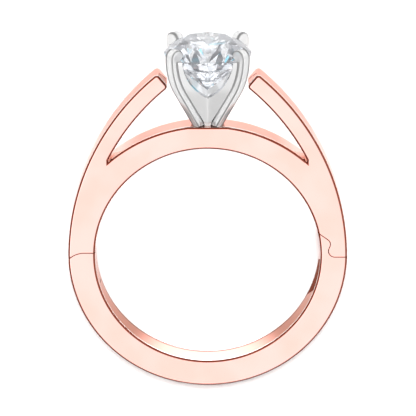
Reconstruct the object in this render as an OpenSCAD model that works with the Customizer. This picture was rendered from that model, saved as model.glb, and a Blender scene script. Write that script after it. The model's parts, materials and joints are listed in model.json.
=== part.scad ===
// Solitaire engagement ring with a hinged shank.
// Each piece is drawn in the ring's own plane: X to the right, Y from the finger hole
// up to the stone, Z out of the front face, with the origin at the finger hole's centre.
// The whole ring is then tipped back a little, as it lies on its side on a table.

/* [Finger hole and shank] */
// Diameter of the finger hole, US size 7
hole_d = 17.3; // [16.8:0.1:17.8]
// Thickness of the shank's wall at the sides and the bottom
wall = 2.08; // [2:0.01:2.16]
// Depth of the shank from its front face to its back face
shank_w = 2.3; // [2.1:0.05:2.6]

/* [Shoulders and bridge] */
// Radius of the arc that the outside of each shoulder bar follows
shoulder_r = 19.25; // [19:0.05:19.5]
// Angle on the shank where that arc leaves its round outside
shoulder_start = 1.4; // [1.2:0.1:2.4]
// Angle on that arc where the bar is cut off beside the head
shoulder_end = 50.2; // [49:0.1:51]
// Radius of the arc under each shoulder bar
under_r = 18.24; // [18.18:0.02:18.3]
// Radius of the arc over the bridge
bridge_r = 11.38; // [11.32:0.01:11.42]
// Half width at which the notch between bar and bridge ends
notch_x = 7.55; // [7:0.05:7.55]

/* [Hinge] */
// Distance of the hinge pin from the ring's middle, towards the left
pin_out = 9.5; // [9.42:0.01:9.55]
// Diameter of the hinge pin
pin_d = 0.8; // [0.6:0.05:0.9]
// Radius of the knuckle and of the round ends about the pin
knuckle_r = 1.62; // [1.5:0.02:1.66]
// Thickness of the knuckle
knuckle_w = 0.74; // [0.6:0.02:0.9]

/* [Catch] */
// Radius of the round bump on the tongue
bump_r = 0.46; // [0.4:0.01:0.47]
// Gap along the two joints between the halves
joint_gap = 0.05; // [0.04:0.01:0.06]

/* [Head] */
// Width of each prong
prong_w = 0.77; // [0.6:0.01:0.9]
// Thickness of each prong, measured out from the stone's axis
prong_t = 0.95; // [0.85:0.01:1]
// Distance of the prongs' outsides from the stone's axis at the claws
prong_out = 4.13; // [4.05:0.01:4.2]
// Angle at which the prongs lean out from the base
prong_lean = 33.7; // [33:0.1:34.2]
// Radius of a prong's round claw
claw_r = 0.63; // [0.55:0.01:0.66]
// Thickness of the cup's wall between the prongs
cup_t = 0.55; // [0.5:0.01:0.6]

/* [Stone] */
// Diameter of the stone
stone_d = 6.6; // [6.4:0.05:6.65]
// Height of the stone's table over the finger hole's centre
table_y = 17.05; // [17:0.01:17.1]
// Width of the table as a share of the stone's diameter
table_share = 0.56; // [0.53:0.01:0.6]
// Angle of the crown's main facets
crown_deg = 34.5; // [33:0.5:35]
// Angle of the pavilion's main facets
pavilion_deg = 40.75; // [40.5:0.05:41]
// Thickness of the girdle at its widest
girdle_t = 0.2; // [0.16:0.01:0.22]

/* [Hidden] */
$fn = 96;
big = 60;                  // longer than the whole ring, for cutting shapes
rose_gold = "#E9B3A0";
white_gold = "#D9D9D6";
clear_white = "#E8F0F6";

hole_r = hole_d / 2;
shank_r = hole_r + wall;

// Shoulders: centres of the arcs on the right. The outer one touches the round shank.
shoulder_c = -(shoulder_r - shank_r) * [cos(shoulder_start), sin(shoulder_start)];
shoulder_y = shank_r * sin(shoulder_start);
under_c = [-8.72, -0.48];
bridge_c = [0, -0.89];
seat_y = bridge_c[1] + bridge_r - 0.1;  // small flat on the bridge that the head stands on

// Hinge: the pin's centre, and the clearances about the knuckle and the pin
pin_c = [-pin_out, -1.35];
slot_gap = 0.03;
pin_gap = 0.03;
pin_fit = 0.01;
pin_cover = 0.15;          // metal left over each end of the pin
pin_bore_l = shank_w - 2 * pin_cover;
pin_end_gap = 0.02;

// Catch: the joint's line runs over the tongue's bump, under the hook's lip, then level
catch_y = -0.05;
bump_c = [8.96, 0.99];
lip_c = [9.78, 0.45];
lip_r = lip_c[1] - catch_y;
tongue_lean = 54;          // direction that the tongue's sloping top faces
seam = joint_gap / 2;      // each half stands back this far from the joint's line

// Head: the prongs and the cup lean out from the base and bend upright at the claws
claw_y = 16.26;
prong_bend_r = 5.3;
cup_out = 3.17;
cup_lean = 28.4;
cup_bend_r = 6;
cup_ridge = 7;             // each side of the cup is two faces, turned this far apart
cup_floor_y = 11.8;
cup_top_y = 16;
window_r = 3.85;           // arcs of the pointed windows between the prongs
window_c = [1.93, 16.32];
solder_gap = 0.02;
stone_gap = 0.03;

// Stone: radii and heights of the facets' corners
stone_r = stone_d / 2;
table_r = table_share * stone_r;
star_r = table_r * cos(22.5) + 0.55 * (stone_r - table_r * cos(22.5));
half_r = 0.23 * stone_r;
girdle_top = table_y - (stone_r - table_r) * tan(crown_deg);
girdle_bottom = girdle_top - girdle_t;
star_y = girdle_top + (stone_r - star_r * cos(22.5)) * tan(crown_deg);
half_y = girdle_bottom - (stone_r - half_r * cos(22.5)) * tan(pavilion_deg);
culet_y = girdle_bottom - stone_r * tan(pavilion_deg);
mains = 8;                 // main facets around the crown, and around the pavilion
sectors = 2 * mains;       // girdle facets around the crown, and around the pavilion
steps = 4;                 // chords that follow the girdle across one such facet

// The ring lies on the back edge of its shank and on the stone's girdle
tip_back = atan2(stone_r - shank_w / 2, girdle_bottom + shank_r);

module lying() {
    rotate([tip_back, 0, 0]) children();
}

module both_sides() {
    children();
    mirror([1, 0]) children();
}

// A plan shape, as thick as given, about the ring's middle plane
module plate(thick) {
    linear_extrude(thick, center = true) children();
}

// Everything in the plan on the left or right (side -1 or 1) that lies below a height
module below(side, y) {
    translate([side < 0 ? -big : 0, y - big]) square(big);
}

// The outline of the whole shank: the round and, on top of it, the two shoulders
module shank_outline() {
    circle(shank_r);
    difference() {
        intersection() {
            translate(shoulder_c) circle(shoulder_r);
            mirror([1, 0]) translate(shoulder_c) circle(shoulder_r);
            translate([-big / 2, shoulder_y]) square(big);
        }
        over_the_ends();
    }
}

// The open space between the shoulder bars, down to the bridge
module shoulder_window() {
    difference() {
        intersection() {
            translate(under_c) circle(under_r);
            mirror([1, 0]) translate(under_c) circle(under_r);
            translate([-notch_x, 0]) square([2 * notch_x, big]);
        }
        translate(bridge_c) circle(bridge_r);
    }
}

// The space over the bars' cut ends, which point at their arc's centre
module over_the_ends() {
    apex = [0, shoulder_c[1] - shoulder_c[0] * tan(shoulder_end)];
    reach = big * [cos(shoulder_end), sin(shoulder_end)];
    polygon([apex, apex + reach, apex + [-reach[0], reach[1]]]);
}

// Plan of the shank in one piece
module shank_plan() {
    difference() {
        shank_outline();
        circle(hole_r);
        shoulder_window();
        translate([-prong_out / 2, seat_y]) square(prong_out);
    }
}

// Where two circles' inner tangent touches them. It leaves the first on its outer side.
function tangent_turn(c1, r1, c2, r2) =
    atan2(c2[1] - c1[1], c2[0] - c1[0]) + acos((r1 + r2) / norm(c2 - c1));
function at(c, r, a) = c + r * [cos(a), sin(a)];

// The tongue of the catch, with its edge moved out by grow
module tongue_area(grow) {
    br = bump_r + grow;
    lr = lip_r - grow;
    turn = tangent_turn(bump_c, br, lip_c, lr);
    top = at(bump_c, br, tongue_lean);
    inside = at(top, 2, tongue_lean + 90);
    difference() {
        union() {
            translate(bump_c) circle(br);
            polygon([[inside[0], catch_y - 1], inside, top, bump_c, at(bump_c, br, turn),
                     at(lip_c, lr, turn + 180), lip_c, [lip_c[0], catch_y - 1]]);
        }
        translate(lip_c) circle(lr);
    }
}

// The part of the plan that belongs to the lower half, with the joints moved up by grow
module lower_area(grow) {
    difference() {
        below(1, catch_y + grow);
        translate(lip_c) circle(lip_r - grow);
    }
    tongue_area(grow);
    below(-1, pin_c[1]);
    translate(pin_c) circle(knuckle_r + grow);
    translate(pin_c) square([pin_out, knuckle_r + grow]);
}

// The middle layer of the hinge: a disc about the pin and all the wall above the pin
module knuckle_area(grow) {
    translate(pin_c) circle(knuckle_r + grow);
    translate([-big / 2, pin_c[1]]) square([big / 2 - hole_r + wall, knuckle_r + wall / 4]);
}

module pin_bore(gap, length) {
    translate(pin_c) cylinder(r = pin_d / 2 + gap, h = length, center = true);
}

module upper_shank() {
    color(rose_gold) lying() difference() {
        union() {
            plate(shank_w) difference() {
                shank_plan();
                lower_area(seam);
            }
            plate(knuckle_w) intersection() {
                shank_plan();
                knuckle_area(-seam);
            }
        }
        pin_bore(pin_gap, knuckle_w * 2);
    }
}

module lower_shank() {
    color(rose_gold) lying() difference() {
        plate(shank_w) intersection() {
            shank_plan();
            lower_area(-seam);
        }
        plate(knuckle_w + 2 * slot_gap) knuckle_area(seam);
        pin_bore(pin_fit, pin_bore_l);
    }
}

module hinge_pin() {
    color(rose_gold) lying() pin_bore(0, pin_bore_l - 2 * pin_end_gap);
}

// The area from the stone's axis out to a side that leans out and then bends upright
module leaning_area(out, lean, bend_r) {
    c = [out - bend_r, claw_y];
    bend = at(c, bend_r, -lean);
    foot = [bend[0] - (bend[1] - seat_y - solder_gap) * tan(lean), seat_y + solder_gap];
    intersection() {
        translate(c) circle(bend_r);
        translate([0, bend[1]]) square([out + claw_r, claw_y - bend[1]]);
    }
    polygon([[0, bend[1]], [0, foot[1]], [max(foot[0], 0), foot[1]], bend]);
}

// A round claw on a bar that leans out
module prong_profile() {
    difference() {
        leaning_area(prong_out, prong_lean, prong_bend_r);
        leaning_area(prong_out - prong_t, prong_lean, prong_bend_r - prong_t);
    }
    translate([prong_out - claw_r, claw_y]) circle(claw_r);
}

module prong() {
    plate(prong_w) prong_profile();
}

// The cup that joins the prongs: each of its four sides is two faces and a ridge
module cup_form(inset) {
    intersection_for(turn = [-cup_ridge, cup_ridge, 90 - cup_ridge, 90 + cup_ridge])
        rotate([0, turn, 0]) plate(big / 4)
            both_sides() leaning_area(cup_out - inset, cup_lean, cup_bend_r - inset);
}

// The pointed windows through the cup, front to back and side to side
module cup_windows() {
    for (turn = [0, 90])
        rotate([0, turn, 0]) plate(big / 4) intersection() {
            translate(window_c) circle(window_r);
            translate([-window_c[0], window_c[1]]) circle(window_r);
        }
}

// The stone's outer form, with room around it, turned about its axis
module stone_seat() {
    g = stone_gap;
    rotate([-90, 0, 0]) rotate_extrude() polygon([
        [0, culet_y - 2 * g], [half_r + g, half_y - g], [stone_r + g, girdle_bottom - g / 2],
        [stone_r + g, girdle_top + g / 2], [star_r + g, star_y + g],
        [table_r + g, table_y + 2 * g], [0, table_y + 2 * g]]);
}

module head() {
    color(white_gold) lying() difference() {
        union() {
            difference() {
                cup_form(0);
                intersection() {
                    cup_form(cup_t);
                    translate([-big / 8, cup_floor_y, -big / 8]) cube(big / 4);
                }
                cup_windows();
                translate([-big / 8, cup_top_y, -big / 8]) cube(big / 4);
            }
            for (turn = [45:90:315]) rotate([0, turn, 0]) prong();
        }
        stone_seat();
    }
}

// A corner of the stone from its radius, its angle and its height on the stone's axis
function corner(r, a, h) = [r * cos(a), r * sin(a), h];

// Slope of the girdle facets, and how far they dip where the round girdle bulges past
// the chord between their corners
function girdle_slope(r, h, edge) = abs(h - edge) / ((stone_r - r) * cos(90 / mains));
function bulge(i) = stone_r * (cos(22.5 * (i % steps) / steps - 11.25) - cos(11.25));

module diamond() {
    ring = sectors * steps;
    crown_dip = girdle_slope(star_r, star_y, girdle_top);
    pavilion_dip = girdle_slope(half_r, half_y, girdle_bottom);
    points = concat(
        [for (k = [0:mains - 1]) corner(table_r, 45 * k, table_y)],
        [for (k = [0:mains - 1]) corner(star_r, 45 * k + 22.5, star_y)],
        [for (k = [0:mains - 1]) corner(half_r, 45 * k + 22.5, half_y)],
        [for (i = [0:ring - 1])
            corner(stone_r, 360 * i / ring, girdle_top - crown_dip * bulge(i))],
        [for (i = [0:ring - 1])
            corner(stone_r, 360 * i / ring, girdle_bottom + pavilion_dip * bulge(i))],
        [[0, 0, culet_y]]);
    star = mains;          // where each group of points begins
    half = 2 * mains;
    top = 3 * mains;
    bottom = top + ring;
    culet = bottom + ring;
    faces = concat(
        [[for (k = [mains - 1:-1:0]) k]],
        [for (k = [0:mains - 1]) [k, (k + 1) % mains, star + k]],
        [for (k = [0:mains - 1])
            [k, star + k, top + 2 * steps * k, star + (k + mains - 1) % mains]],
        [for (s = [0:sectors - 1])
            [star + floor(s / 2), for (j = [steps:-1:0]) top + (steps * s + j) % ring]],
        [for (i = [0:ring - 1])
            [top + i, top + (i + 1) % ring, bottom + (i + 1) % ring, bottom + i]],
        [for (s = [0:sectors - 1])
            [half + floor(s / 2), for (j = [0:steps]) bottom + (steps * s + j) % ring]],
        [for (k = [0:mains - 1])
            [culet, half + (k + mains - 1) % mains, bottom + 2 * steps * k, half + k]]);
    color(clear_white) lying() rotate([-90, 0, 0]) polyhedron(points, faces);
}

upper_shank();
lower_shank();
hinge_pin();
head();
diamond();
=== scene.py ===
"""A solitaire engagement ring, lying on its side on a pale floor under a soft studio light.

The metal and the stone are worked out in the ring's own plane, in millimetres: x to the right,
y from the finger hole up to the stone, z out of the front face. lie_down() tips the result back
onto the stone's girdle, as the ring lies, and scales it to metres.
"""

import json

import bpy
import numpy as np
from mathutils import Matrix, Vector

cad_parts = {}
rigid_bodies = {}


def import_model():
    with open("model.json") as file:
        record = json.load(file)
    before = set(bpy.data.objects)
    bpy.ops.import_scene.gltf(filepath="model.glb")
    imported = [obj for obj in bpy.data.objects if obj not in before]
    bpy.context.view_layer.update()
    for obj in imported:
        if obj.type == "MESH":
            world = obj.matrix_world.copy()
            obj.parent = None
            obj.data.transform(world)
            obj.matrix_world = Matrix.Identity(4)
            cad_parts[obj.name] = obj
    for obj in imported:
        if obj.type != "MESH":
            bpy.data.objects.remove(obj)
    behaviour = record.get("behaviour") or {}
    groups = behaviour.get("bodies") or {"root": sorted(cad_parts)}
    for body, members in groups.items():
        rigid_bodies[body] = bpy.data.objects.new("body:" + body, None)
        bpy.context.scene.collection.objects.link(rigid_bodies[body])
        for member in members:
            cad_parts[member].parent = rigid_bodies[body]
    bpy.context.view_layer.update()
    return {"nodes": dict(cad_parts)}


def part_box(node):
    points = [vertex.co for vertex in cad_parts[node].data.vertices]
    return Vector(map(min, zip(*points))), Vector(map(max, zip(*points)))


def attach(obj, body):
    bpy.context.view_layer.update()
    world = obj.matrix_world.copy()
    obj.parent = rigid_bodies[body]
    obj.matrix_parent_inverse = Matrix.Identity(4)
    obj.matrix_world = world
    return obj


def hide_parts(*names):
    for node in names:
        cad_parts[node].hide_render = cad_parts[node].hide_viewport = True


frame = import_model()

MM = 0.001
NEAR = 1e-5  # points closer than this are one point
SHARP_DEG = 30  # edges that turn by more than this stay sharp

# Finger hole and shank
HOLE_R = 8.65
SHANK_R = HOLE_R + 2.08
SHANK_HALF = 1.15  # half of the shank's depth
EDGE_R = 0.2  # rounding along the shank's edges
END_R = 0.3  # rounding of the bars' cut ends, seen from the front
BLANK_END = 3.5  # how far past the joints each half's blank reaches, before it is cut
WALL_REACH = 2  # how many radii below a rounding its rise is still counted on the wall
HOLE_FADE = 0.1  # how far off the finger hole the painted shade of its wall ends

# Shoulder bars and bridge
SHOULDER_R = 19.25
SHOULDER_START, SHOULDER_END = 1.4, 50.2  # degrees
UNDER_R = 18.24
UNDER_C = np.array([-8.72, -0.48])
BRIDGE_R = 11.38
BRIDGE_C = np.array([0, -0.89])
NOTCH_X = 7.55
NOTCH_Y = BRIDGE_C[1] + np.sqrt(BRIDGE_R**2 - NOTCH_X**2)
NOTCH_FADE = [1.08, 2.88]  # distances from a notch's corner between which its painted pale tone fades
SEAT_Y = BRIDGE_C[1] + BRIDGE_R - 0.1

# Hinge on the left and catch on the right
PIN_C = np.array([-9.5, -1.35])
PIN_R = 0.4
UPPER_BORE_R, UPPER_BORE_HALF = PIN_R + 0.03, 0.6
LOWER_BORE_R, LOWER_BORE_HALF = PIN_R + 0.01, SHANK_HALF - 0.15
KNUCKLE_R, KNUCKLE_HALF = 1.62, 0.37
HINGE_IN, HINGE_OUT = -7, -13  # where the hinge's lines end, inside the hole and outside
SLOT_GAP = 0.03
SEAM = 0.038  # half of the gap along the joints
CATCH_Y, CATCH_OUT = -0.05, SHANK_R + 2
BUMP_R, BUMP_C = 0.46, np.array([8.96, 0.99])
LIP_R, LIP_C = 0.5, np.array([9.78, 0.45])
TONGUE_LEAN, TONGUE_SLOPE = 54, 2  # degrees, and the slope's length
TOOL_FAR, TOOL_DEEP = 5, 3  # how far a joint's tool reaches up or down, and to front and back

# Head
PRONG_HALF, PRONG_T, PRONG_OUT = 0.385, 0.95, 4.13
PRONG_LEAN, PRONG_BEND_R = 33.7, 5.3
PRONG_EDGE_R = 0.13
OUTSIDE_TILT = 0.25  # share of their downward part that the prongs' outside normals keep
GROOVE, GROOVE_DEPTH = 0.13, 0.05  # the groove between a prong and the cup
CLAW_R, CLAW_Y = 0.63, 16.26
CUP_OUT, CUP_T, CUP_LEAN, CUP_BEND_R = 3.17, 0.55, 28.4, 6
CUP_RIDGE, CUP_BLUNT = 7, 4  # degrees from a ridge to a face's middle, and of its rounding
CUP_FLOOR_Y, CUP_TOP_Y = 11.8, 16
WINDOW_R, WINDOW_C = 3.85, np.array([1.93, 16.32])
WINDOW_TOP = 12  # degrees of the window's circles at which it ends, over the cup's rim
HEAD_FOOT_Y = SEAT_Y + 0.02
HEAD_REACH = 6  # past the head's outside

# Stone, a round brilliant
STONE_R = 3.3
TABLE_Y, TABLE_R = 17.05, 0.56 * STONE_R
CROWN_DEG, PAVILION_DEG = 34.5, 40.75
GIRDLE_T = 0.2
MAINS, SECTOR = 8, 22.5  # number of main facets, and half of one's degrees
MAIN_MIDDLE = np.cos(np.radians(SECTOR))  # distance of its middle, if its corner's is 1
STAR_SHARE = 0.55  # how far the stars come from the table's sides towards the girdle
HALF_SHARE = 0.23  # how near the lower halves' corners come to the axis
STONE_GAP = 0.03

# The stone's levels
GIRDLE_TOP = TABLE_Y - (STONE_R - TABLE_R) * np.tan(np.radians(CROWN_DEG))
GIRDLE_BOTTOM = GIRDLE_TOP - GIRDLE_T
CULET_Y = GIRDLE_BOTTOM - STONE_R * np.tan(np.radians(PAVILION_DEG))
STAR_R = TABLE_R * MAIN_MIDDLE + STAR_SHARE * (STONE_R - TABLE_R * MAIN_MIDDLE)
STAR_Y = GIRDLE_TOP + (STONE_R - STAR_R * MAIN_MIDDLE) * np.tan(np.radians(CROWN_DEG))
HALF_R = HALF_SHARE * STONE_R
HALF_Y = GIRDLE_BOTTOM - (STONE_R - HALF_R * MAIN_MIDDLE) * np.tan(np.radians(PAVILION_DEG))

# The ring rests on the back edge of its shank and on the stone's girdle
TIP_BACK = np.arctan2(STONE_R - SHANK_HALF, GIRDLE_BOTTOM + SHANK_R)
LYING = Matrix.Rotation(TIP_BACK, 4, "X") @ Matrix.Scale(MM, 4)


# Outlines

def turned(angle):
    """Unit vectors in a plane at angles in degrees, counted from its first axis."""
    a = np.radians(angle)
    return np.stack([np.cos(a), np.sin(a)], -1)


def arc(centre, radius, start, end, step=1.0):
    """Points of a circle from one angle to another: centre + radius * (cos a, sin a)."""
    count = max(2, int(np.ceil(abs(end - start) / step)) + 1)
    return np.asarray(centre) + radius * turned(np.linspace(start, end, count))


def bearing(centre, point):
    """The angle, in degrees, at which a point is seen from a centre."""
    dx, dy = np.subtract(point, centre)
    return np.degrees(np.arctan2(dy, dx))


def flipped(path):
    """A path mirrored left to right and run the other way."""
    return path[::-1] * [-1, 1]


def shortened(path, cut):
    """A path without its last stretch of a given length, measured back along its sides."""
    back = path[::-1]
    run = np.concatenate([[0], np.cumsum(np.linalg.norm(np.diff(back, axis=0), axis=1))])
    end = [np.interp(cut, run, back[:, 0]), np.interp(cut, run, back[:, 1])]
    return np.concatenate([back[run > cut][::-1], [end]])


def softened(a, b, radius):
    """Path a and then path b, with the corner between them rounded to about a radius.

    The rounding is the cubic curve whose handles lie 0.5523 of the way to the corner.
    """
    corner, handle = a[-1], 0.5523
    a, b = shortened(a, radius), shortened(b[::-1], radius)[::-1]
    p = [a[-1], a[-1] + handle * (corner - a[-1]), b[0] + handle * (corner - b[0]), b[0]]
    t = np.linspace(0, 1, 11)[1:-1, None]
    s = 1 - t
    curve = s**3 * p[0] + 3 * t * s**2 * p[1] + 3 * t**2 * s * p[2] + t**3 * p[3]
    return np.concatenate([a, curve, b])


def closed(*paths):
    """Paths joined into one closed outline that runs anticlockwise, with no point twice."""
    points = np.concatenate([np.atleast_2d(p) for p in paths])
    points = points[np.linalg.norm(points - np.roll(points, 1, 0), axis=1) > NEAR]
    x, y = points.T
    area = np.sum(x * np.roll(y, -1) - y * np.roll(x, -1))
    return points if area > 0 else points[::-1]


# Meshes

def new_mesh(points, faces, smooth):
    """A mesh of points and faces, with a smooth flag for each face."""
    mesh = bpy.data.meshes.new("shape")
    mesh.from_pydata(points.reshape(-1, 3).tolist(), [], faces)
    mesh.polygons.foreach_set("use_smooth", smooth)
    mesh.update()
    return mesh


def solid(grid, smooth=True):
    """A closed body from a grid of points, rows by columns.

    Each row is a loop. Quads join every row to the next, and the first and the last row are
    each closed by one flat face.
    """
    rows, columns = grid.shape[:2]
    at = np.arange(rows * columns).reshape(rows, columns)
    after = np.roll(at, -1, 1)
    quads = np.stack([at[:-1], after[:-1], after[1:], at[1:]], -1).reshape(-1, 4)
    faces = quads.tolist() + [at[0][::-1].tolist(), at[-1].tolist()]
    return new_mesh(grid, faces, [smooth] * len(quads) + [False, False])


def plate(outline, half, edge, steps=8):
    """A flat plate with rounded edges.

    Its profile turns a quarter round over the back edge, runs straight up the wall, and turns
    a quarter round over the front edge. On the wall it has a point WALL_REACH radii off either
    rounding, or in a thin plate a tenth of the half depth off the middle. Each point of the
    profile is carried along the outline, moved inwards along the mitre of the two sides that
    meet at each corner.
    """
    side = np.roll(outline, -1, 0) - outline
    after = np.stack([side[:, 1], -side[:, 0]], -1) / np.linalg.norm(side, axis=1)[:, None]
    before = np.roll(after, 1, 0)
    mitre = (before + after) / (1 + np.sum(before * after, 1))[:, None]
    quarter = np.radians(np.linspace(0, 90, steps + 1))
    on_wall = max(half - (1 + WALL_REACH) * edge, 0.1 * half)
    inward = np.append(0, edge * (1 - np.cos(quarter)))
    height = np.append(on_wall, half - edge + edge * np.sin(quarter))
    inward = np.concatenate([inward[::-1], inward])
    height = np.concatenate([-height[::-1], height])
    plan = outline[None] - inward[:, None, None] * mitre[None]
    return solid(np.dstack([plan, np.broadcast_to(height[:, None], plan.shape[:2])]))


def prism(outline, low, high):
    """A straight body with sharp edges over an outline, between two heights."""
    heights = np.array([low, high], float)
    plan = np.broadcast_to(outline, (2, *outline.shape))
    return solid(np.dstack([plan, np.broadcast_to(heights[:, None], plan.shape[:2])]), False)


def around_stone(radius, height):
    """A surface about the stone's axis: radius and height are rows by columns, and column i
    stands at the angle 360 * i / columns from the front."""
    cos, sin = turned(np.linspace(0, 360, radius.shape[1], endpoint=False)).T
    return np.dstack([radius * sin, np.broadcast_to(height, radius.shape), radius * cos])


def carved(mesh, *tools, mark=True):
    """A mesh with one tool after another cut out of it. The meshes of each tool lie apart.

    Faces that a marking tool leaves behind get the material index 1, for arrays() to find.
    """
    collection = bpy.context.scene.collection.objects
    kinds = [bpy.data.materials.get(name) or bpy.data.materials.new(name)
             for name in ("own", "cut")]
    for kind in kinds:
        mesh.materials.append(kind)
    for meshes in tools:
        work = bpy.data.objects.new("work", mesh)
        cutter = bpy.data.objects.new("cutter", joined([arrays(m) for m in meshes]))
        for kind in kinds:
            cutter.data.materials.append(kind)
        marks = [int(mark)] * len(cutter.data.polygons)
        cutter.data.polygons.foreach_set("material_index", marks)
        collection.link(work)
        collection.link(cutter)
        cut = work.modifiers.new("cut", "BOOLEAN")
        cut.solver, cut.operation, cut.object = "EXACT", "DIFFERENCE", cutter
        shape = work.evaluated_get(bpy.context.evaluated_depsgraph_get())
        mesh = bpy.data.meshes.new_from_object(shape)
        bpy.data.objects.remove(work)
        bpy.data.objects.remove(cutter)
    return mesh


def read(items, name, width=1, kind=np.float32):
    """One property of all the items of a mesh as an array, a row for each item."""
    out = np.empty(len(items) * width, kind)
    items.foreach_get(name, out)
    return out.reshape(-1, width) if width > 1 else out


def arrays(mesh, half=0.0, edge=0.0):
    """A mesh as arrays: points, corners, face sizes, smooth flags, corner normals, rise and cut.

    Cut is 1 on the faces that a tool left behind. Rise is the share of its edge's rounding
    that a point has climbed, from 0 on the wall to 1 on the flat. It goes on down the wall
    below 0, for WALL_REACH radii. Where a plate's half depth and edge radius are given, the
    corner normals on its wall and its rounding are exact: their part along z is the rise, but
    0 all down the wall, and the rest keeps the wall's own direction.
    """
    mesh.set_sharp_from_angle(angle=np.radians(SHARP_DEG))
    points = read(mesh.vertices, "co", 3)
    corners = read(mesh.loops, "vertex_index", 1, np.int32)
    sizes = read(mesh.polygons, "loop_total", 1, np.int32)
    smooth = read(mesh.polygons, "use_smooth", 1, bool)
    cut = read(mesh.polygons, "material_index", 1, np.int32).astype(float)
    normals = read(mesh.corner_normals, "vector", 3)
    rise = np.full(len(points), -WALL_REACH, float)
    if edge:
        rise = np.clip((np.abs(points[:, 2]) - half + edge) / edge, -WALL_REACH, 1)
        tilt = (np.sign(points[:, 2]) * np.maximum(rise, 0))[corners]
        level_length = np.maximum(np.linalg.norm(normals[:, :2], axis=1), 1e-9)
        level = normals[:, :2] / level_length[:, None]
        exact = np.column_stack([level * np.sqrt(1 - tilt**2)[:, None], tilt])
        normals = np.where(np.repeat(smooth, sizes)[:, None], exact, normals)
    return points, corners, sizes, smooth, normals, rise, cut


def swung(part, angle):
    """The arrays of a part turned about the stone's axis."""
    points, corners, sizes, smooth, normals, rise, cut = part
    turn = np.array(Matrix.Rotation(np.radians(angle), 3, "Y")).T
    return points @ turn, corners, sizes, smooth, normals @ turn, rise.copy(), cut


def joined(parts):
    """One mesh of several parts, given as arrays, with their corner normals and attributes.

    Beside rise and cut it gets two attributes from its points' places, which place painted shade
    and a painted pale tone. Inside is 1 on the front half of the finger hole's wall and 2 on its
    back half, and falls to 0 off the wall. Corner is 1 about the corners of the two notches and
    falls to 0 further away.
    """
    points, corners, sizes, smooth, normals, rise, cut = zip(*parts)
    first = np.cumsum([0] + [len(p) for p in points[:-1]])
    corners = np.concatenate([c + f for c, f in zip(corners, first)])
    points, sizes, smooth = map(np.concatenate, (points, sizes, smooth))
    mesh = bpy.data.meshes.new("shape")
    mesh.vertices.add(len(points))
    mesh.loops.add(len(corners))
    mesh.polygons.add(len(sizes))
    mesh.vertices.foreach_set("co", points.astype(np.float32).ravel())
    mesh.loops.foreach_set("vertex_index", corners)
    mesh.polygons.foreach_set("loop_start", (np.cumsum(sizes) - sizes).astype(np.int32))
    mesh.update(calc_edges=True)
    mesh.polygons.foreach_set("use_smooth", smooth)
    x, y, z = points.T
    inside = np.interp(np.hypot(x, y), [HOLE_R, HOLE_R + HOLE_FADE], [1, 0])
    inside[z < 0] *= 2
    corner = np.interp(np.hypot(np.abs(x) - NOTCH_X, y - NOTCH_Y), NOTCH_FADE, [1, 0])
    for name, domain, value in (("rise", "POINT", np.concatenate(rise)),
                                ("inside", "POINT", inside), ("corner", "POINT", corner),
                                ("cut", "FACE", np.concatenate(cut))):
        attribute = mesh.attributes.new(name, "FLOAT", domain)
        attribute.data.foreach_set("value", value.astype(np.float32))
    mesh.normals_split_custom_set(np.concatenate(normals).tolist())
    return mesh


def lie_down(name, mesh, material, body, slot, *nodes):
    """Tips a mesh back as the ring lies, scales it to metres and makes it a piece."""
    mesh.transform(LYING)
    mesh.name = name
    mesh.materials.clear()
    mesh.materials.append(material)
    piece = bpy.data.objects.new(name, mesh)
    bpy.context.scene.collection.objects.link(piece)
    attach(piece, body)
    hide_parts(*nodes)
    return piece


# Shader nodes

class Wire:
    """A socket that Python's operators work on by adding Math nodes."""

    def __init__(self, tree, socket):
        self.tree, self.socket = tree, socket

    def math(self, operation, *others):
        """A Math node on this socket and the others."""
        inputs = dict(enumerate([self, *others]))
        return self.tree.make("ShaderNodeMath", {"operation": operation}, inputs)

    def __add__(self, other):
        return self.math("ADD", other)

    def __sub__(self, other):
        return self.math("SUBTRACT", other)

    def __rsub__(self, other):
        return (self * -1) + other

    def __mul__(self, other):
        return self.math("MULTIPLY", other)

    __radd__, __rmul__ = __add__, __mul__


class Tree:
    """The node tree of a material or of the world."""

    def __init__(self, owner):
        owner.use_nodes = True
        self.tree = owner.node_tree
        self.tree.nodes.clear()

    def make(self, kind, settings=None, inputs=None, output=0):
        """Adds a node: its settings first, then the values or links of its sockets."""
        node = self.tree.nodes.new(kind)
        for name, value in (settings or {}).items():
            setattr(node, name, value)
        for name, value in (inputs or {}).items():
            if isinstance(value, Wire):
                self.tree.links.new(value.socket, node.inputs[name])
            else:
                node.inputs[name].default_value = value
        return Wire(self, node.outputs[output]) if node.outputs else node

    def noise(self, vector, scale, detail, **more):
        """A cloudy pattern about 0.5, in three dimensions, or in four where W is given."""
        dimensions = {"noise_dimensions": "4D" if more else "3D"}
        return self.make("ShaderNodeTexNoise", dimensions,
                         {"Vector": vector, "Scale": scale, "Detail": detail, **more})

    def mix(self, factor, a, b):
        """Colour a, going to colour b as the factor goes to 1."""
        return self.make("ShaderNodeMix", {"data_type": "RGBA"}, {0: factor, 6: a, 7: b}, 2)

    def step(self, value, low, high):
        """0 below low and 1 over high, with a smooth rise between them."""
        return self.make("ShaderNodeMapRange", {"interpolation_type": "SMOOTHSTEP"},
                         {0: value, 1: low, 2: high})

    def dot(self, vector, axis):
        """How far a vector goes along an axis."""
        return self.make("ShaderNodeVectorMath", {"operation": "DOT_PRODUCT"},
                         {0: vector, 1: axis}, "Value")


def grey(tone):
    """A colour without a hue."""
    return (tone, tone, tone, 1)


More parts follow.
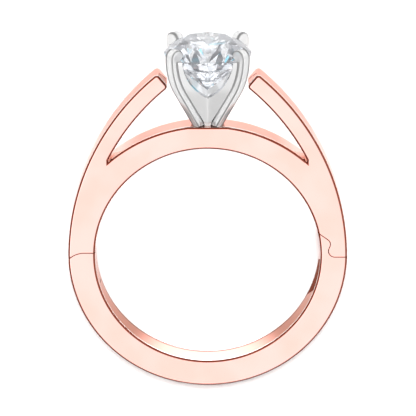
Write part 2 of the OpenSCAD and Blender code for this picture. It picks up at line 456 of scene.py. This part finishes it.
def polished(name, face, bright, glint, reach, line, line_from, seam_shade, grazing, metal,
             walls=None):
    """Polished gold, cloudy between two tones.

    Along each rounded edge a painted highlight, the glint, and then a painted dark line run
    between wall and face; the line is painted shade, standing in for the dark reflection along
    the edge. The glint comes down the wall by its reach, in radii, and ends in the middle of the
    rounding. The line starts at a given share of the rounding, below 0 on the wall, and ends
    just before the flat. The tone for the faces inside the joints and grooves is painted shade.
    The grazing tone keeps the gold's colour where it is seen at a flat angle.

    Walls, where given, are three more painted tones: a pale one for the walls about the notches'
    corners, which mirror each other and would turn red, a deep one, painted shade, for the
    finger hole's wall, which gets no glint, and a dark one, painted shade, for the lip along
    that wall's back, one radius wide.
    """
    haze, gloss = 0.03, 0.05
    material = bpy.data.materials.new(name)
    tree = Tree(material)
    place = tree.make("ShaderNodeTexCoord", output="Object")
    cloud = tree.noise(place, 260, 2)
    marks = tree.noise(place, 9000, 2)
    rise, inside, corner, cut = (
        tree.make("ShaderNodeAttribute", {"attribute_name": mark}, output="Fac")
        for mark in ("rise", "inside", "corner", "cut"))
    colour = tree.mix(tree.step(cloud, 0.35, 0.65), face, bright)
    # the glint is a painted highlight, mixed into the base colour
    painted_glint_mask = tree.step(rise, -reach, 0.3 - reach) * (1 - tree.step(rise, 0.4, 0.5))
    if walls:
        pale, deep, dark = walls
        # painted tones of the walls: the pale one against the red the corner walls mirror, the
        # deep one painted shade on the finger hole's wall, the dark one painted shade on its back
        # lip
        on_wall = 1 - tree.step(rise, 0.0, 0.1)
        lip = tree.step(inside, 1.3, 1.9) * tree.step(rise, -1.2, -1.0)
        colour = tree.mix(corner * on_wall, colour, pale)
        colour = tree.mix(inside, colour, deep)
        colour = tree.mix(lip, colour, dark)
        painted_glint_mask = painted_glint_mask * (1 - tree.step(inside, 0, 1) * on_wall)
    colour = tree.mix(painted_glint_mask, colour, glint)
    # painted shade on the faces inside the joints and grooves
    colour = tree.mix(cut, colour, seam_shade)
    bump = tree.make("ShaderNodeBump", {}, {"Strength": 0.05, "Distance": 2e-6, "Height": marks})
    gold = tree.make("ShaderNodeBsdfPrincipled", {}, {
        "Base Color": colour, "Metallic": metal, "Roughness": (cloud - 0.5) * haze + gloss,
        "Specular Tint": grazing, "Normal": bump})
    # the dark line along the edges, painted shade that stands in for their dark reflection
    outline = tree.make("ShaderNodeBsdfPrincipled", {}, {
        "Base Color": line, "Metallic": 1.0, "Roughness": 0.3, "Specular Tint": line})
    painted_line_mask = tree.step(rise, line_from, line_from + 0.15) * (1 - tree.step(rise, 0.92, 0.99))
    shader = tree.make("ShaderNodeMixShader", {}, {0: painted_line_mask, 1: gold, 2: outline})
    tree.make("ShaderNodeOutputMaterial", {}, {"Surface": shader})
    return material


def clear_stone(name):
    """Diamond: clear and faintly cloudy, with its own strong refraction.

    Light that is still inside after four reflections would be lost as black, so from there on
    the facets it meets give it a pale glow.
    """
    last_reflection = 3.5
    material = bpy.data.materials.new(name)
    tree = Tree(material)
    place = tree.make("ShaderNodeTexCoord", output="Object")
    cloud = tree.noise(place, 700, 2)
    reflections = tree.make("ShaderNodeLightPath", output="Glossy Depth")
    late = reflections.math("GREATER_THAN", last_reflection)
    shader = tree.make("ShaderNodeBsdfPrincipled", {}, {
        "Base Color": tree.mix(cloud, (0.87, 0.88, 0.9, 1), (0.91, 0.92, 0.94, 1)),
        "Metallic": 0.0, "Roughness": 0.0, "IOR": 2.417, "Transmission Weight": 1.0,
        "Emission Color": tree.mix(late, (0, 0, 0, 1), (0.2, 0.205, 0.22, 1)),
        "Emission Strength": 1.0})
    tree.make("ShaderNodeOutputMaterial", {}, {"Surface": shader})
    return material


def pale_floor(name):
    """Matt white, faintly cloudy."""
    material = bpy.data.materials.new(name)
    tree = Tree(material)
    place = tree.make("ShaderNodeTexCoord", output="Object")
    shader = tree.make("ShaderNodeBsdfPrincipled", {}, {
        "Base Color": tree.mix(tree.noise(place, 40, 4), grey(0.9), grey(0.92)),
        "Roughness": 0.7, "Specular IOR Level": 0.1})
    tree.make("ShaderNodeOutputMaterial", {}, {"Surface": shader})
    return material


# Shank

def blank_ends():
    """Angles at which a blank ends, as far past the joints as BLANK_END, on its outside and
    on the finger hole."""
    return np.degrees(np.arcsin(BLANK_END / SHANK_R)), np.degrees(np.arcsin(BLANK_END / HOLE_R))


def upper_outline():
    """Outline of the upper half: outside, shoulder bar, notch and bridge of the right side,
    the same of the left side, and back along the finger hole.

    The bar's outside and underside are two circles. Its end is cut along a line from the
    outside's centre, which meets the underside's circle at the reach.
    """
    outer, inner = blank_ends()
    shoulder_c = -(SHOULDER_R - SHANK_R) * turned(SHOULDER_START)
    end = turned(SHOULDER_END)
    gap = UNDER_C - shoulder_c
    reach = gap @ end + np.sqrt(UNDER_R**2 - gap @ gap + (gap @ end) ** 2)
    end_line = np.array([shoulder_c + SHOULDER_R * end, shoulder_c + reach * end])
    notch_run = NOTCH_X - UNDER_C[0]
    notch_top = UNDER_C + [notch_run, np.sqrt(UNDER_R**2 - notch_run**2)]
    bar = np.concatenate([
        arc((0, 0), SHANK_R, -outer, SHOULDER_START),
        arc(shoulder_c, SHOULDER_R, SHOULDER_START, SHOULDER_END, step=0.5)[1:]])
    under = arc(UNDER_C, UNDER_R, bearing(UNDER_C, end_line[1]), bearing(UNDER_C, notch_top),
                step=0.5)
    seat_half = np.sqrt(BRIDGE_R**2 - (SEAT_Y - BRIDGE_C[1]) ** 2)
    bridge = arc(BRIDGE_C, BRIDGE_R, np.degrees(np.arccos(NOTCH_X / BRIDGE_R)),
                 np.degrees(np.arccos(seat_half / BRIDGE_R)))
    right = np.concatenate([softened(softened(bar, end_line, END_R), under, END_R), bridge])
    return closed(right, flipped(right), arc((0, 0), HOLE_R, 180 + inner, -inner))


def lower_outline():
    """Outline of the lower half: round the outside from left to right, and back along the
    finger hole."""
    outer, inner = blank_ends()
    return closed(arc((0, 0), SHANK_R, 180 - outer, 360 + outer),
                  arc((0, 0), HOLE_R, 360 + inner, 180 - inner))


def catch_line(grow):
    """The catch's joint from the finger hole out: down the tongue's slope, over its round
    bump, along the tangent that the bump shares with the lip, under the lip, then level."""
    bump, lip = BUMP_R + grow, LIP_R - grow
    span = np.linalg.norm(LIP_C - BUMP_C)
    turn = bearing(BUMP_C, LIP_C) + np.degrees(np.arccos((bump + lip) / span))
    slope = BUMP_C + bump * turned(TONGUE_LEAN) + TONGUE_SLOPE * turned(TONGUE_LEAN + 90)
    return np.concatenate([[slope], arc(BUMP_C, bump, TONGUE_LEAN, turn, step=5),
                           arc(LIP_C, lip, turn + 180, 270, step=5),
                           [[CATCH_OUT, CATCH_Y + grow]]])


def hinge_line(grow):
    """The hinge's joint on the faces: level to over the pin, then round it to the outside."""
    r = KNUCKLE_R + grow
    return np.concatenate([[[HINGE_IN, PIN_C[1] + r]], arc(PIN_C, r, 90, 180, step=3),
                           [[HINGE_OUT, PIN_C[1]]]])


def knuckle_line(grow):
    """The hinge's joint in its middle layer: round under the pin from side to side."""
    r = KNUCKLE_R + grow
    return np.concatenate([[[HINGE_IN, PIN_C[1]]], arc(PIN_C, r, 0, -180, step=3),
                           [[HINGE_OUT, PIN_C[1]]]])


def beyond(line, y, low=-TOOL_DEEP, high=TOOL_DEEP):
    """The space between a joint's line and a height, to cut away."""
    return prism(closed(line, [line[-1, 0], y], [line[0, 0], y]), low, high)


def pin_bore(radius, half):
    """The round space about the pin's axis, to cut away."""
    return prism(closed(arc(PIN_C, radius, 0, 355, step=5)), -half, half)


def make_upper(material):
    """The upper half: its blank, without what lies under the knuckle in the middle layer,
    under the hinge's line in the two outer layers, and under the catch's line."""
    shape = carved(plate(upper_outline(), SHANK_HALF, EDGE_R),
                   [beyond(knuckle_line(-SEAM), -TOOL_FAR), beyond(catch_line(SEAM), -TOOL_FAR),
                    pin_bore(UPPER_BORE_R, UPPER_BORE_HALF)],
                   [beyond(hinge_line(SEAM), -TOOL_FAR, low=KNUCKLE_HALF),
                    beyond(hinge_line(SEAM), -TOOL_FAR, high=-KNUCKLE_HALF)])
    mesh = joined([arrays(shape, SHANK_HALF, EDGE_R)])
    return lie_down("upper_half", mesh, material, "upper", "rose_gold", "upper_shank")


def make_lower(material):
    """The lower half: its blank, without what lies over the hinge's and the catch's lines,
    and with a slot between the hinge's cheeks for the knuckle."""
    slot_half = KNUCKLE_HALF + SLOT_GAP
    shape = carved(plate(lower_outline(), SHANK_HALF, EDGE_R),
                   [beyond(hinge_line(-SEAM), TOOL_FAR), beyond(catch_line(-SEAM), TOOL_FAR),
                    pin_bore(LOWER_BORE_R, LOWER_BORE_HALF)],
                   [beyond(knuckle_line(SEAM), TOOL_FAR, -slot_half, slot_half)])
    mesh = joined([arrays(shape, SHANK_HALF, EDGE_R)])
    return lie_down("lower_half", mesh, material, "lower", "rose_gold", "lower_shank")


# Head

def leaning(height, out, lean, bend_r):
    """Distance from the stone's axis of a side that leans out and then bends upright.

    It follows a circle that stands upright at the claws' height, and below the point where
    that circle leans by the given angle it goes straight on along the tangent.
    """
    bend_out, bend_y = (out - bend_r, CLAW_Y) + bend_r * turned(-lean)
    on_arc = out - bend_r + np.sqrt(np.maximum(bend_r**2 - (height - CLAW_Y) ** 2, 0))
    straight = bend_out - (bend_y - height) * np.tan(np.radians(lean))
    return np.where(height > bend_y, on_arc, straight)


def prong_outline():
    """A prong from the side: up its outside, round the claw, and down its inside.

    The outside and the inside bend about one centre, and x says how far from it the claw's
    circle meets the inside's, from the two radii and the distance of the centres.
    """
    bend_c = np.array([PRONG_OUT - PRONG_BEND_R, CLAW_Y])
    claw_c = np.array([PRONG_OUT - CLAW_R, CLAW_Y])
    inner_r = PRONG_BEND_R - PRONG_T
    span = claw_c[0] - bend_c[0]
    x = (inner_r**2 - CLAW_R**2 + span**2) / (2 * span)
    meet = bend_c + [x, -np.sqrt(inner_r**2 - x**2)]
    foot = [[leaning(HEAD_FOOT_Y, PRONG_OUT - t, PRONG_LEAN, PRONG_BEND_R - t), HEAD_FOOT_Y]
            for t in (0, PRONG_T)]
    return closed(foot[0], arc(bend_c, PRONG_BEND_R, -PRONG_LEAN, 0),
                  arc(claw_c, CLAW_R, 0, 360 + bearing(claw_c, meet), step=5),
                  arc(bend_c, inner_r, bearing(bend_c, meet), -PRONG_LEAN), foot[1])


def stone_seat():
    """The stone's outer form with room around it, turned about its axis in 144 steps."""
    room, on_axis = STONE_GAP, 0.01
    profile = np.array([
        [on_axis, CULET_Y - 2 * room], [HALF_R + room, HALF_Y - room],
        [STONE_R + room, GIRDLE_BOTTOM - room / 2], [STONE_R + room, GIRDLE_TOP + room / 2],
        [STAR_R + room, STAR_Y + room], [TABLE_R + room, TABLE_Y + 2 * room],
        [on_axis, TABLE_Y + 3 * room]])
    return solid(around_stone(np.repeat(profile[:, :1], 144, 1), profile[:, 1:]), False)


def cup_form(inset, low, high):
    """The cup as a solid: in each quarter two faces, 7 degrees either side of its middle.

    The distance from the axis is that of the leaning side divided by the cosine of the angle
    to the nearer face's middle. The ridge between the two faces is blunted: the angle from it
    is the root of the sum of its own square and a small angle's.
    """
    angle = np.linspace(-45, 45, 61)[:-1]
    from_ridge = np.tile(np.sqrt(angle**2 + CUP_BLUNT**2), 4)
    height = np.linspace(low, high, 41)[:, None]
    out = leaning(height, CUP_OUT - inset, CUP_LEAN, CUP_BEND_R - inset)
    grid = around_stone(out / np.cos(np.radians(from_ridge - CUP_RIDGE)), height)
    turn = np.array(Matrix.Rotation(np.radians(-45), 3, "Y")).T
    return solid(grid @ turn)


def cup_window(angle):
    """The pointed opening through two sides of the cup: the space that two circles share."""
    drop = np.sqrt(WINDOW_R**2 - WINDOW_C[0] ** 2)
    point = np.degrees(np.arctan2(-drop, WINDOW_C[0]))
    right = arc(WINDOW_C * [-1, 1], WINDOW_R, point, WINDOW_TOP)
    mesh = prism(closed(right, flipped(right)), -HEAD_REACH, HEAD_REACH)
    mesh.transform(Matrix.Rotation(np.radians(angle), 4, "Y"))
    return mesh


def prong_groove():
    """What the grooves beside two opposite prongs take out of the cup: a plate a little
    thicker than the prongs, without the cup's form as deep as the grooves go."""
    low, high = HEAD_FOOT_Y - 0.5, CUP_TOP_Y + 0.5
    half = PRONG_HALF + GROOVE
    across = np.array([[-HEAD_REACH, low], [HEAD_REACH, low],
                       [HEAD_REACH, high], [-HEAD_REACH, high]])
    return carved(prism(across, -half, half), [cup_form(GROOVE_DEPTH, low - 1, high + 1)])


def make_head(material):
    """The four prongs, and the cup between them: hollow, open on four sides, with a seat for
    the stone and a groove beside each prong."""
    prong = carved(plate(prong_outline(), PRONG_HALF, PRONG_EDGE_R, steps=6), [stone_seat()],
                   mark=False)
    groove = arrays(prong_groove())
    grooves = [[joined([swung(groove, a)])] for a in (45, 135)]
    cup = carved(cup_form(0, HEAD_FOOT_Y, CUP_TOP_Y),
                 [cup_form(CUP_T, CUP_FLOOR_Y, CUP_TOP_Y + 1)],
                 [cup_window(0)], [cup_window(90)], [stone_seat()], mark=False)
    cup = carved(cup, *grooves)
    prong = arrays(prong, PRONG_HALF, PRONG_EDGE_R)
    # The prongs' outsides shine as if they stood steeper, so that they mirror the room's sides
    normals = prong[4]
    outside = (normals[:, 0] > 0.5) & (normals[:, 1] < 0)
    normals[outside, 1] *= OUTSIDE_TILT
    normals[outside] /= np.linalg.norm(normals[outside], axis=1)[:, None]
    prongs = [swung(prong, a) for a in (45, 135, 225, 315)]
    # The painted dark line, painted shade along the edges, keeps to the upper half of the
    # rounding, and off the wall, on the edges that face the ring's front and back
    for points, *_, rise, _ in prongs:
        facing = np.abs(points[:, 2]) > np.abs(points[:, 0])
        rise[facing & (rise < 0.45)] = -WALL_REACH
    mesh = joined([arrays(cup)] + prongs)
    return lie_down("setting", mesh, material, "upper", "white_gold", "head")


# Stone

def make_stone(material):
    """A round brilliant from its facets' corners. The main facets meet the girdle at every
    45 degrees, and the star and lower half corners lie halfway between. The girdle is round,
    and its two edges dip where it bulges past the straight line between facet corners."""
    sectors, steps = 2 * MAINS, 6
    ring = sectors * steps
    main, place = np.arange(MAINS), np.arange(ring)
    whole = 2 * SECTOR * main
    around = 360 * place / ring
    middle = np.cos(np.radians(SECTOR / 2))
    bulge = STONE_R * (np.cos(np.radians(around % SECTOR - SECTOR / 2)) - middle)
    across = (STONE_R - np.array([STAR_R, HALF_R])) * middle
    slopes = np.abs([STAR_Y - GIRDLE_TOP, HALF_Y - GIRDLE_BOTTOM]) / across
    crown_dip, pavilion_dip = slopes[:, None] * bulge

    def corner(radius, angle, height):
        cos, sin = turned(angle).T
        return np.column_stack([radius * cos, np.broadcast_to(height, cos.shape), -radius * sin])

    points = np.concatenate([
        corner(TABLE_R, whole, TABLE_Y), corner(STAR_R, whole + SECTOR, STAR_Y),
        corner(HALF_R, whole + SECTOR, HALF_Y), corner(STONE_R, around, GIRDLE_TOP - crown_dip),
        corner(STONE_R, around, GIRDLE_BOTTOM + pavilion_dip), [[0, CULET_Y, 0]]])
    star, half, top = MAINS, 2 * MAINS, 3 * MAINS
    bottom, culet = top + ring, top + 2 * ring
    before, after = (main - 1) % MAINS, (main + 1) % MAINS
    sector = np.arange(sectors)[:, None]
    along = (steps * sector + np.arange(steps + 1)) % ring
    meeting, following = 2 * steps * main, (place + 1) % ring
    faces = [main.tolist()]
    # Stars, crown mains, upper halves, girdle, lower halves, pavilion mains
    for group in (
            np.stack([main, after, star + main], -1),
            np.stack([main, star + main, top + meeting, star + before], -1),
            np.hstack([star + sector // 2, top + along[:, ::-1]]),
            np.stack([top + place, top + following, bottom + following, bottom + place], -1),
            np.hstack([half + sector // 2, bottom + along]),
            np.stack([culet + 0 * main, half + before, bottom + meeting, half + main], -1)):
        faces += group[:, ::-1].tolist()
    mesh = new_mesh(points, faces, [False] * len(faces))
    return lie_down("brilliant", mesh, material, "upper", "diamond", "diamond")


# The glint, line, seam shade and wall colours below are painted light: a painted highlight,
# painted shade, and a pale tone against mirrored red
rose_gold = polished(
    "rose gold", face=(0.9, 0.52, 0.455, 1), bright=(0.9, 0.56, 0.505, 1),
    glint=(1, 0.9, 0.86, 1), reach=0.6, line=(0.24, 0.055, 0.03, 1), line_from=0.35,
    seam_shade=(0.2, 0.07, 0.05, 1), grazing=(0.95, 0.72, 0.66, 1), metal=1.0,
    walls=[(0.97, 0.9, 0.88, 1), (0.46, 0.24, 0.19, 1), (0.09, 0.05, 0.04, 1)])
white_gold = polished(
    "white gold", face=grey(0.78), bright=grey(0.84), glint=grey(1), reach=0.0,
    line=grey(0.3), line_from=-0.7, seam_shade=grey(0.01), grazing=grey(0.6), metal=0.5)
diamond = clear_stone("diamond")

make_upper(rose_gold)
lower = make_lower(rose_gold)
make_head(white_gold)
make_stone(diamond)
pin = frame["nodes"]["hinge_pin"]
pin.data.materials.clear()
pin.data.materials.append(rose_gold)

# Floor, light and camera

FLOOR_Z = min(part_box(node)[0].z for node in frame["nodes"])

# The ring's own directions as it lies: out of its front face, and up to its stone
FRONT = Vector((0, -np.sin(TIP_BACK), np.cos(TIP_BACK)))
UP = Vector((0, np.cos(TIP_BACK), np.sin(TIP_BACK)))
RIGHT = Vector((1, 0, 0))

# The room's light, and its patches: from azimuth, to azimuth, from elevation, to elevation,
# softness of the edges, strength. Azimuths count from the ring's front to its right, and
# elevations from its front up towards its stone, in degrees
ROOM = 0.9
PATCHES = [
    (-60, -12, -88, -62, 4, 0.72),
    (12, 60, -88, -62, 4, 0.52),
    (-10, 10, -88, -62, 3, 1.3),
    (-14, 14, -50, 2, 2, 1.48),
    (-30, 30, -75, -35, 14, 1.0),
    (-32, -14, -24, 40, 1.5, 2.4),
    (-82, -34, -60, 50, 2, 0.8),
    (13, 36, -14, 50, 2, 0.8),
    (33, 58, -60, 50, 2, 0.8),
    (60, 82, -60, 50, 2, 2.0),
    (-30, 12, 3, 14, 1.5, 2.4),
    (-60, 60, 16, 60, 2, 1.3),
]
SKY_SEEDS = 67, 117  # of the sky's patches and of its cyan ones
LAMP_FAR = 3

# Camera, as fitted to the two edges of the finger hole: millimetres and degrees
CAMERA_FAR, CAMERA_RISE = 220.0, 20.13
PIXELS_PER_MM = 13.012
FRAME_PX = 416
HOLE_X_PX, HOLE_Y_PX = 207.65, 256.57


def cool_sky(tree, way, scale):
    """Patches of cool white and slate grey with a few of cyan, for the stone to look out at.

    White is where one cloudy pattern is over its middle, and cyan where another is near its
    top.
    """
    cloud, flash = (tree.noise(way, scale, 1, W=seed) for seed in SKY_SEEDS)
    colour = tree.mix(tree.step(cloud, 0.45, 0.56), (0.05, 0.055, 0.07, 1), (1.45, 1.49, 1.55, 1))
    return tree.mix(tree.step(flash, 0.66, 0.7), colour, (0.35, 1.1, 1.4, 1))


def studio():
    """The room round the ring. The metal reflects a pale room with light panels and dark
    screens, each a patch between two azimuths and two elevations. The stone's refractions
    look out at a cool, uneven sky. The floor and the camera get plain white."""
    world = bpy.data.worlds.new("studio")
    tree = Tree(world)
    way = tree.make("ShaderNodeTexCoord", output="Generated")
    elevation = tree.dot(way, UP).math("ARCSINE").math("DEGREES")
    azimuth = tree.dot(way, RIGHT).math("ARCTAN2", tree.dot(way, FRONT)).math("DEGREES")
    room = ROOM
    for left, right, low, high, soft, strength in PATCHES:
        mask = (tree.step(azimuth, left - soft, left + soft)
                * tree.step(elevation, low - soft, low + soft)
                * (1 - tree.step(azimuth, right - soft, right + soft))
                * (1 - tree.step(elevation, high - soft, high + soft)))
        room = mask * (strength - room) + room

    def background(colour, strength):
        return tree.make("ShaderNodeBackground", {}, {"Color": colour, "Strength": strength})

    light = background(grey(1), 0.15)
    for ray, shown in (("Is Camera Ray", background(grey(1), 1.0)),
                       ("Is Glossy Ray", background(grey(1), room)),
                       ("Is Transmission Ray", background(cool_sky(tree, way, 3.5), 1.0))):
        seen_by = tree.make("ShaderNodeLightPath", output=ray)
        light = tree.make("ShaderNodeMixShader", {}, {0: seen_by, 1: light, 2: shown})
    tree.make("ShaderNodeOutputWorld", {}, {"Surface": light})
    bpy.context.scene.world = world


def hung(light, place, aim):
    """A lamp's object at a place, turned to a point. It lights only what is not shiny, so
    that the metal mirrors the room."""
    shape = bpy.data.objects.new(light.name, light)
    bpy.context.scene.collection.objects.link(shape)
    shape.location = place
    shape.rotation_euler = (aim - place).to_track_quat("-Z", "Y").to_euler()
    shape.visible_glossy = shape.visible_transmission = shape.visible_camera = False
    return shape


def lamp(name, tilt, spread, strength, blockers=()):
    """A round lamp LAMP_FAR metres away, leaning from overhead towards the stone's end.

    Its spread is half the angle it fills, and only the blockers, where any are given, throw
    its shadow.
    """
    light = bpy.data.lights.new(name, "AREA")
    light.shape, light.energy = "DISK", strength
    light.size = 2 * LAMP_FAR * np.tan(np.radians(spread))
    place = Matrix.Rotation(np.radians(-tilt), 3, "X") @ Vector((0, 0, LAMP_FAR))
    shape = hung(light, place, Vector((0, 0, 0)))
    if blockers:
        shape.light_linking.blocker_collection = bpy.data.collections.new(name)
        for blocker in blockers:
            shape.light_linking.blocker_collection.objects.link(blocker)


def beam():
    """A narrow beam through the finger hole onto the floor, for the shank's inner wall to
    mirror. Its spot is almost twice as wide as it is deep."""
    light = bpy.data.lights.new("beam", "SPOT")
    light.energy, light.color = 3.8, (1, 0.97, 1.1)
    light.spot_size, light.spot_blend, light.shadow_soft_size = np.radians(2.3), 1, 0.0005
    shape = hung(light, Vector((0, 0.01, 0.15)), Vector((0, -0.0075, FLOOR_Z)))
    shape.scale = (1.8, 1, 1)


def flat(name, half_size, material, centre=(0, 0), above=0.0):
    """A level card on the stage, on the floor or a little above it."""
    sides = np.array([[-1, -1], [1, -1], [1, 1], [-1, 1]]) * half_size + centre
    mesh = bpy.data.meshes.new(name)
    mesh.from_pydata([(x, y, FLOOR_Z + above) for x, y in sides.tolist()], [], [(0, 1, 2, 3)])
    mesh.materials.append(material)
    piece = bpy.data.objects.new(name, mesh)
    bpy.context.scene.collection.objects.link(piece)
    return piece


def stone_card(name):
    """A patterned card on the floor under the head, which only the stone's refractions see."""
    material = bpy.data.materials.new(name)
    tree = Tree(material)
    place = tree.make("ShaderNodeTexCoord", output="Object")
    glow = tree.make("ShaderNodeEmission", {}, {"Color": cool_sky(tree, place, 260)})
    tree.make("ShaderNodeOutputMaterial", {}, {"Surface": glow})
    card = flat(name, (0.2, 0.2), material, above=0.0001)
    card.visible_camera = card.visible_glossy = card.visible_diffuse = False
    card.visible_shadow = False


def dark_reflection_card(name, colour):
    """A small brown card on the floor inside the finger hole, which only the metal mirrors:
    a dark sheet that puts a painted dark reflection on the right of the finger hole's wall.
    """
    material = bpy.data.materials.new(name)
    tree = Tree(material)
    glow = tree.make("ShaderNodeEmission", {}, {"Color": colour})
    tree.make("ShaderNodeOutputMaterial", {}, {"Surface": glow})
    card = flat(name, (0.0006, 0.0015), material, centre=(0.0081, -0.0026), above=0.0002)
    card.visible_camera = card.visible_transmission = card.visible_diffuse = False
    card.visible_shadow = False


def fitted_camera():
    """The camera, in front of the ring and above its axis, at the middle of the finger hole's
    front edge, and turned aside so far that this point falls on its own pixel."""
    focal_px = PIXELS_PER_MM * CAMERA_FAR
    camera = bpy.data.cameras.new("camera")
    camera.sensor_width, camera.clip_start = 36.0, 0.01
    camera.lens = focal_px / FRAME_PX * camera.sensor_width
    rise = np.radians(CAMERA_RISE)
    back = FRONT * np.cos(rise) + UP * np.sin(rise)
    place = FRONT * SHANK_HALF * MM + back * CAMERA_FAR * MM
    look = Matrix((RIGHT, back.cross(RIGHT), back)).transposed().to_4x4()
    tilt = np.arctan((HOLE_Y_PX - FRAME_PX / 2) / focal_px)
    pan = np.arctan((FRAME_PX / 2 - HOLE_X_PX) / focal_px)
    eye = bpy.data.objects.new("camera", camera)
    bpy.context.scene.collection.objects.link(eye)
    eye.matrix_world = (Matrix.Translation(place) @ look @ Matrix.Rotation(tilt, 4, "X")
                        @ Matrix.Rotation(-pan, 4, "Y"))
    return eye


floor = flat("floor", (1.5, 1.5), pale_floor("floor"))
stone_card("stone card")
dark_reflection_card("dark_reflection_card", (0.35, 0.16, 0.12, 1))
studio()
lamp("key", tilt=15.5, spread=4, strength=8)
lamp("contact", tilt=23.5, spread=6.5, strength=61, blockers=[lower])
lamp("fill", tilt=0, spread=10, strength=33, blockers=[floor])
beam()
bpy.context.scene.camera = fitted_camera()
bpy.context.scene.view_settings.view_transform = "Standard"
